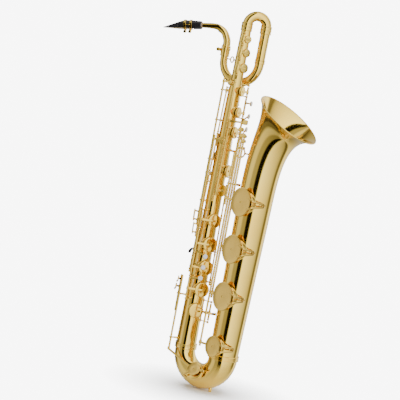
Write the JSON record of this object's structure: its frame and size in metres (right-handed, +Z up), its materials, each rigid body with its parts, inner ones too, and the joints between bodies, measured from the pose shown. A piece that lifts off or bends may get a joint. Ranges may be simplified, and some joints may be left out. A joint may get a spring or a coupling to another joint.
{
  "type": "baritone_saxophone",
  "caption": "Baritone saxophone: conical brass body with a looped upper crook, a bottom bow, an upturned flared bell, padded keywork on rods, a bent neck and a beaked mouthpiece",
  "frame": {"origin": "centre of the eye that the neck strap's ring hangs in, on the back of the body tube", "axes": "+Z up along the body tube, +X from the body tube towards the bell, -Y to the player's right"},
  "size_m": [0.5423, 0.2008, 1.1056],
  "materials": {
    "gold_lacquer": "polished, clear lacquered",
    "ebonite": "polished hard rubber",
    "cane": "bare cane",
    "cork": "bare cork",
    "silver_plate": "polished",
    "black_plastic": "satin",
    "pearl": "pearlescent",
    "leather": "smooth"
  },
  "bodies": {
    "horn": {"bell": "gold_lacquer", "bell_brace": "gold_lacquer", "bell_rod_bracket_low": "gold_lacquer", "bell_rod_bracket_middle": "gold_lacquer", "bell_rod_bracket_top": "gold_lacquer", "body_tube": "gold_lacquer", "bottom_bow": "gold_lacquer", "bow_key_posts": "gold_lacquer", "bow_ring": "gold_lacquer", "crook": "gold_lacquer", "crook_brace": "gold_lacquer", "e_flat_posts": "gold_lacquer", "low_a_guard": "gold_lacquer", "low_b_flat_guard": "gold_lacquer", "low_b_guard": "gold_lacquer", "low_c_guard": "gold_lacquer", "low_c_sharp_guard": "gold_lacquer", "lower_stack_posts": "gold_lacquer", "neck_receiver": "gold_lacquer", "palm_key_posts": "gold_lacquer", "side_key_posts": "gold_lacquer", "strap_eye": "gold_lacquer", "thumb_hook": "black_plastic", "thumb_key_posts": "gold_lacquer", "thumb_rest": "black_plastic", "top_bow": "gold_lacquer", "upper_stack_posts": "gold_lacquer"},
    "f_sharp_key": {"f_sharp_key": "gold_lacquer"},
    "f_key": {"f_key": "gold_lacquer"},
    "e_key": {"e_key": "gold_lacquer"},
    "d_key": {"d_key": "gold_lacquer"},
    "g_key": {"g_key": "gold_lacquer"},
    "a_key": {"a_key": "gold_lacquer"},
    "b_key": {"b_key": "gold_lacquer"},
    "c_key": {"c_key": "gold_lacquer"},
    "g_sharp_key": {"g_sharp_key": "gold_lacquer"},
    "e_flat_key": {"e_flat_key": "gold_lacquer"},
    "side_b_flat_key": {"side_b_flat_key": "gold_lacquer"},
    "high_e_key": {"high_e_key": "gold_lacquer"},
    "palm_d_key": {"palm_d_key": "gold_lacquer"},
    "palm_e_flat_key": {"palm_e_flat_key": "gold_lacquer"},
    "palm_f_key": {"palm_f_key": "gold_lacquer"},
    "octave_key": {"octave_key": "gold_lacquer"},
    "low_a_key": {"low_a_key": "gold_lacquer"},
    "low_b_flat_key": {"low_b_flat_key": "gold_lacquer"},
    "low_b_key": {"low_b_key": "gold_lacquer"},
    "low_c_sharp_key": {"low_c_sharp_key": "gold_lacquer"},
    "low_c_key": {"low_c_key": "gold_lacquer"},
    "e_flat_lever": {"e_flat_lever": "gold_lacquer"},
    "low_a_lever": {"low_a_lever": "gold_lacquer"},
    "neck": {"neck_tube": "gold_lacquer", "neck_cork": "cork"},
    "neck_screw": {"neck_screw": "gold_lacquer"},
    "mouthpiece": {"mouthpiece": "ebonite", "reed": "cane", "ligature": "gold_lacquer"},
    "ligature_screw_back": {"ligature_screw_back": "gold_lacquer"},
    "ligature_screw_front": {"ligature_screw_front": "gold_lacquer"},
    "strap_ring": {"strap_ring": "silver_plate"},
    "water_key": {"water_key": "gold_lacquer"}
  },
  "joints": [
    {"name": "f_sharp_key_pivot", "type": "hinge", "parent": "horn", "child": "f_sharp_key", "pos_m": [0.027, -0.052, -0.131], "axis": [0, 0, 1], "range_deg": [0, 4.63]},
    {"name": "f_key_pivot", "type": "hinge", "parent": "horn", "child": "f_key", "pos_m": [0.027, -0.052, -0.201], "axis": [0, 0, 1], "range_deg": [0, 4.63], "stiffness_Nm_per_rad": 0.3},
    {"name": "e_key_pivot", "type": "hinge", "parent": "horn", "child": "e_key", "pos_m": [0.027, -0.052, -0.27], "axis": [0, 0, 1], "range_deg": [0, 4.63], "stiffness_Nm_per_rad": 0.3},
    {"name": "d_key_pivot", "type": "hinge", "parent": "horn", "child": "d_key", "pos_m": [0.027, -0.052, -0.335], "axis": [0, 0, 1], "range_deg": [0, 4.63], "stiffness_Nm_per_rad": 0.3},
    {"name": "g_key_pivot", "type": "hinge", "parent": "horn", "child": "g_key", "pos_m": [0.05524, 0.02543, 0.018], "axis": [0, 0, 1], "range_deg": [-7.07, 0], "stiffness_Nm_per_rad": 0.3},
    {"name": "a_key_pivot", "type": "hinge", "parent": "horn", "child": "a_key", "pos_m": [0.05524, 0.02543, 0.13], "axis": [0, 0, 1], "range_deg": [-7.07, 0], "stiffness_Nm_per_rad": 0.3},
    {"name": "b_key_pivot", "type": "hinge", "parent": "horn", "child": "b_key", "pos_m": [0.05524, 0.02543, 0.189], "axis": [0, 0, 1], "range_deg": [-7.07, 0], "stiffness_Nm_per_rad": 0.3},
    {"name": "c_key_pivot", "type": "hinge", "parent": "horn", "child": "c_key", "pos_m": [0.05524, 0.02543, 0.251], "axis": [0, 0, 1], "range_deg": [-7.07, 0]},
    {"name": "g_sharp_key_pivot", "type": "hinge", "parent": "horn", "child": "g_sharp_key", "pos_m": [0.051, -0.037, -0.041], "axis": [0, 0, 1], "range_deg": [-7.55, 0], "stiffness_Nm_per_rad": 0.3},
    {"name": "e_flat_key_pivot", "type": "hinge", "parent": "horn", "child": "e_flat_key", "pos_m": [0.078, 0.01, -0.398], "axis": [0, 0, 1], "range_deg": [0, 4.76]},
    {"name": "side_b_flat_key_pivot", "type": "hinge", "parent": "horn", "child": "side_b_flat_key", "pos_m": [0.00687, -0.02985, 0.103], "axis": [0, 0, 1], "range_deg": [-8.32, 0], "stiffness_Nm_per_rad": 0.3},
    {"name": "high_e_key_pivot", "type": "hinge", "parent": "horn", "child": "high_e_key", "pos_m": [-0.00212, -0.02116, 0.271], "axis": [0, 0, 1], "range_deg": [-9, 0], "stiffness_Nm_per_rad": 0.3},
    {"name": "palm_d_key_pivot", "type": "hinge", "parent": "horn", "child": "palm_d_key", "pos_m": [0.04147, -0.02966, 0.317], "axis": [0, 0, 1], "range_deg": [-8.45, 0], "stiffness_Nm_per_rad": 0.3},
    {"name": "palm_e_flat_key_pivot", "type": "hinge", "parent": "horn", "child": "palm_e_flat_key", "pos_m": [0.04147, -0.02966, 0.361], "axis": [0, 0, 1], "range_deg": [-8.45, 0], "stiffness_Nm_per_rad": 0.3},
    {"name": "palm_f_key_pivot", "type": "hinge", "parent": "horn", "child": "palm_f_key", "pos_m": [0.04147, -0.02966, 0.4], "axis": [0, 0, 1], "range_deg": [-9, 0], "stiffness_Nm_per_rad": 0.3},
    {"name": "octave_key_pivot", "type": "hinge", "parent": "horn", "child": "octave_key", "pos_m": [0.00015, 0.0155, 0.223], "axis": [0, 0, 1], "range_deg": [0, 9], "stiffness_Nm_per_rad": 0.3},
    {"name": "low_a_key_pivot", "type": "hinge", "parent": "horn", "child": "low_a_key", "pos_m": [0.093, -0.048, -0.054], "axis": [0, 0, 1], "range_deg": [0, 3.07]},
    {"name": "low_b_flat_key_pivot", "type": "hinge", "parent": "horn", "child": "low_b_flat_key", "pos_m": [0.1152, -0.048, -0.191], "axis": [0, 0, 1], "range_deg": [0, 4.87], "stiffness_Nm_per_rad": 0.3},
    {"name": "low_b_key_pivot", "type": "hinge", "parent": "horn", "child": "low_b_key", "pos_m": [0.1078, -0.048, -0.329], "axis": [0, 0, 1], "range_deg": [0, 4.29], "stiffness_Nm_per_rad": 0.3},
    {"name": "low_c_sharp_key_pivot", "type": "hinge", "parent": "horn", "child": "low_c_sharp_key", "pos_m": [0.1004, -0.048, -0.476], "axis": [0, 0, 1], "range_deg": [0, 3.85], "stiffness_Nm_per_rad": 0.3},
    {"name": "low_c_key_pivot", "type": "hinge", "parent": "horn", "child": "low_c_key", "pos_m": [-0.006, -0.038, -0.422], "axis": [0, 0, 1], "range_deg": [0, 2.08], "stiffness_Nm_per_rad": 0.3},
    {"name": "e_flat_lever_pivot", "type": "hinge", "parent": "horn", "child": "e_flat_lever", "pos_m": [-0.014, -0.03, -0.352], "axis": [0, 0, 1], "range_deg": [0, 8], "stiffness_Nm_per_rad": 0.3},
    {"name": "low_a_lever_pivot", "type": "hinge", "parent": "horn", "child": "low_a_lever", "pos_m": [0.00015, 0.0155, 0.043], "axis": [0, 0, 1], "range_deg": [0, 8], "stiffness_Nm_per_rad": 0.3},
    {"name": "neck_swivel", "type": "hinge", "parent": "horn", "child": "neck", "pos_m": [-0.05, 0.035, 0.366], "axis": [0, 0, 1], "range_deg": [-60, 60]},
    {"name": "neck_screw_turn", "type": "hinge", "parent": "horn", "child": "neck_screw", "pos_m": [-0.0685, 0.024, 0.359], "axis": [0, 1, 0], "continuous": true},
    {"name": "mouthpiece_slide", "type": "slide", "parent": "neck", "child": "mouthpiece", "axis": [-0.9304, -0.3387, -0.14], "range_m": [0, 0.02]},
    {"name": "ligature_screw_back_turn", "type": "hinge", "parent": "mouthpiece", "child": "ligature_screw_back", "pos_m": [-0.15785, -0.00425, 0.3932], "axis": [-0.342, 0.9397, 0], "continuous": true},
    {"name": "ligature_screw_front_turn", "type": "hinge", "parent": "mouthpiece", "child": "ligature_screw_front", "pos_m": [-0.17181, -0.00933, 0.3911], "axis": [-0.342, 0.9397, 0], "continuous": true},
    {"name": "strap_ring_swing", "type": "hinge", "parent": "horn", "child": "strap_ring", "pos_m": [0, 0, 0], "axis": [0, 0, 1], "range_deg": [-30, 60]},
    {"name": "water_key_pivot", "type": "hinge", "parent": "horn", "child": "water_key", "pos_m": [-0.0035, 0.035, 0.2579], "axis": [0, 1, 0], "range_deg": [0, 14], "stiffness_Nm_per_rad": 0.1}
  ],
  "couplings": [
    {"joint": "f_sharp_key_pivot", "follows": "f_key_pivot", "ratio": 1},
    {"joint": "c_key_pivot", "follows": "b_key_pivot", "ratio": 1},
    {"joint": "low_a_key_pivot", "follows": "low_a_lever_pivot", "ratio": 0.383},
    {"joint": "e_flat_key_pivot", "follows": "e_flat_lever_pivot", "ratio": 0.595}
  ]
}
